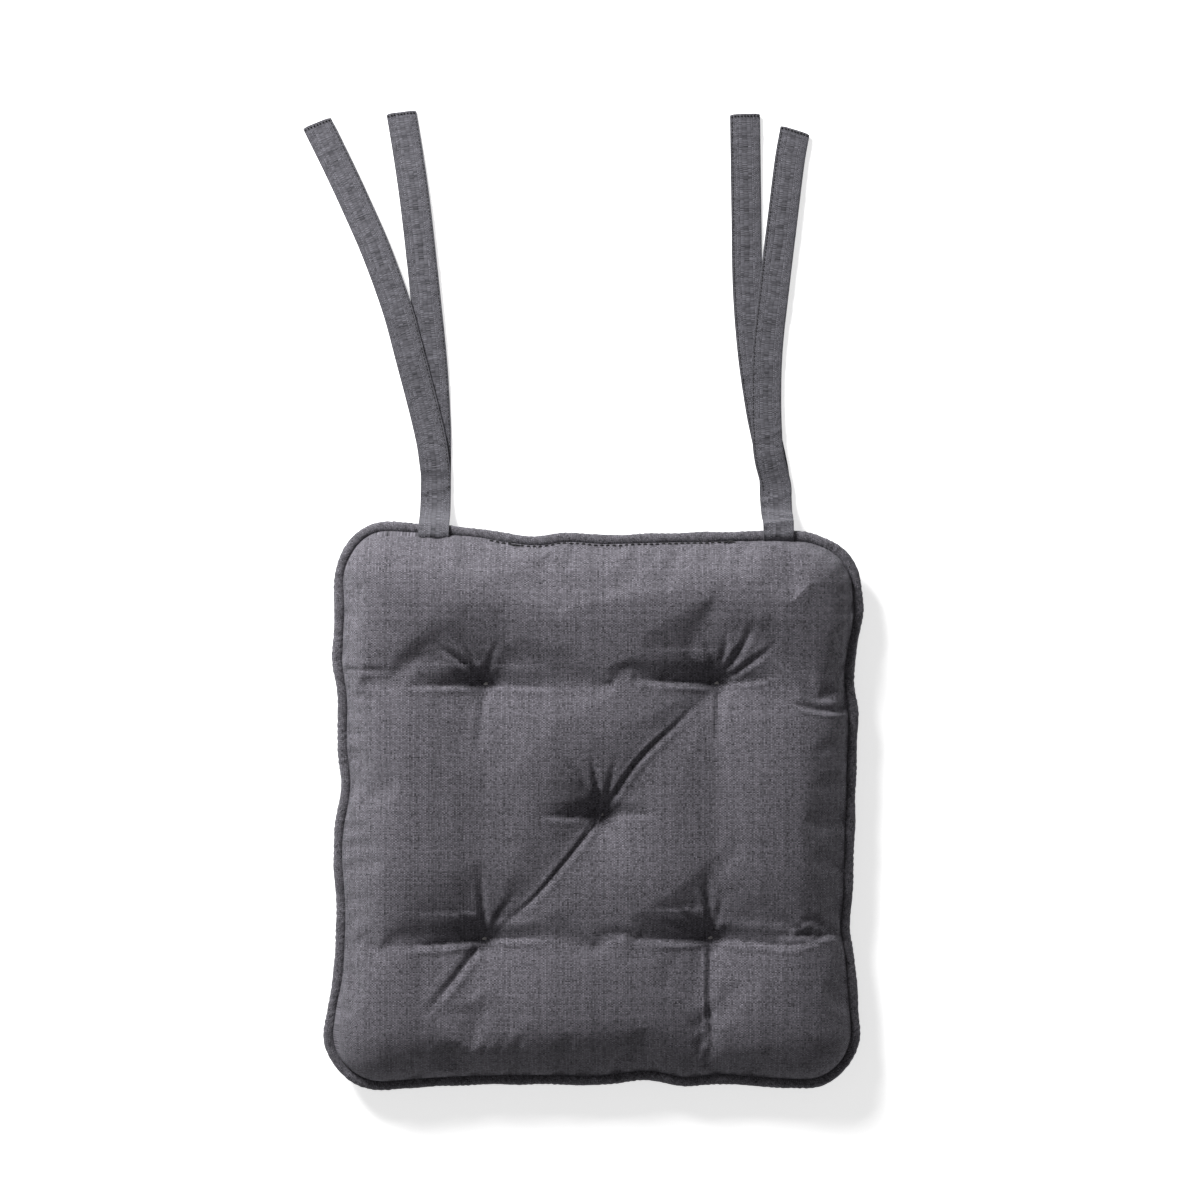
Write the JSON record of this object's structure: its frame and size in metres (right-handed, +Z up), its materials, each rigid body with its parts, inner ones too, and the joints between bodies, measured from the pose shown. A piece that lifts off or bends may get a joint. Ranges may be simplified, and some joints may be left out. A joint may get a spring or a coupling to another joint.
{
  "type": "chair seat pad",
  "caption": "Square tufted chair seat pad with a piped edge, stitched dimples and pairs of fabric ties sewn into its back seam.",
  "frame": {"origin": "centre of the face that the pad rests on, midway between its piped sides and between its piped front and back", "axes": "+Z up out of the seat, +Y towards the back edge with the ties, +X to the right of someone sitting on the pad"},
  "size_m": [0.3976, 0.6955, 0.05],
  "materials": {
    "top_fabric": "matt plain weave cotton, charcoal grey",
    "bottom_fabric": "matt plain weave cotton, charcoal grey",
    "piping_fabric": "matt plain weave cotton cut on the bias, charcoal grey",
    "tie_fabric": "matt plain weave cotton, folded and stitched",
    "polyester_fill": "white lofted fibre",
    "cotton_cord": "twisted undyed cord",
    "sewing_thread": "matt spun thread, dark grey",
    "tufting_twine": "waxed twine, grey"
  },
  "bodies": {
    "pad": {"top_panel": "top_fabric", "bottom_panel": "bottom_fabric", "fibre_fill": "polyester_fill", "piping_sleeve": "piping_fabric", "piping_cord": "cotton_cord", "perimeter_seam_thread": "sewing_thread", "closing_seam_thread": "sewing_thread", "tuft_thread_centre": "tufting_twine", "tuft_thread_back_left": "tufting_twine", "tuft_thread_back_right": "tufting_twine", "tuft_thread_front_left": "tufting_twine", "tuft_thread_front_right": "tufting_twine", "tie_left_anchor": "tie_fabric", "tie_right_anchor": "tie_fabric"},
    "tie_left_root": {"tie_left_root": "tie_fabric"},
    "tie_left_inner": {"tie_left_inner": "tie_fabric", "tie_left_inner_stitching": "sewing_thread"},
    "tie_left_outer": {"tie_left_outer": "tie_fabric", "tie_left_outer_stitching": "sewing_thread"},
    "tie_right_root": {"tie_right_root": "tie_fabric"},
    "tie_right_inner": {"tie_right_inner": "tie_fabric", "tie_right_inner_stitching": "sewing_thread"},
    "tie_right_outer": {"tie_right_outer": "tie_fabric", "tie_right_outer_stitching": "sewing_thread"}
  },
  "joints": [
    {"name": "left_ties_lift", "type": "hinge", "parent": "pad", "child": "tie_left_root", "pos_m": [-0.116, 0.195, 0.019], "axis": [1, 0, 0], "range_deg": [-60, 100]},
    {"name": "left_inner_tie_swing", "type": "hinge", "parent": "tie_left_root", "child": "tie_left_inner", "pos_m": [-0.116, 0.236, 0], "axis": [0, 0, 1], "range_deg": [-30, 30]},
    {"name": "left_outer_tie_swing", "type": "hinge", "parent": "tie_left_root", "child": "tie_left_outer", "pos_m": [-0.116, 0.236, 0], "axis": [0, 0, 1], "range_deg": [-30, 30]},
    {"name": "right_ties_lift", "type": "hinge", "parent": "pad", "child": "tie_right_root", "pos_m": [0.129, 0.195, 0.019], "axis": [1, 0, 0], "range_deg": [-60, 100]},
    {"name": "right_inner_tie_swing", "type": "hinge", "parent": "tie_right_root", "child": "tie_right_inner", "pos_m": [0.129, 0.236, 0], "axis": [0, 0, 1], "range_deg": [-30, 30]},
    {"name": "right_outer_tie_swing", "type": "hinge", "parent": "tie_right_root", "child": "tie_right_outer", "pos_m": [0.129, 0.236, 0], "axis": [0, 0, 1], "range_deg": [-30, 30]}
  ]
}
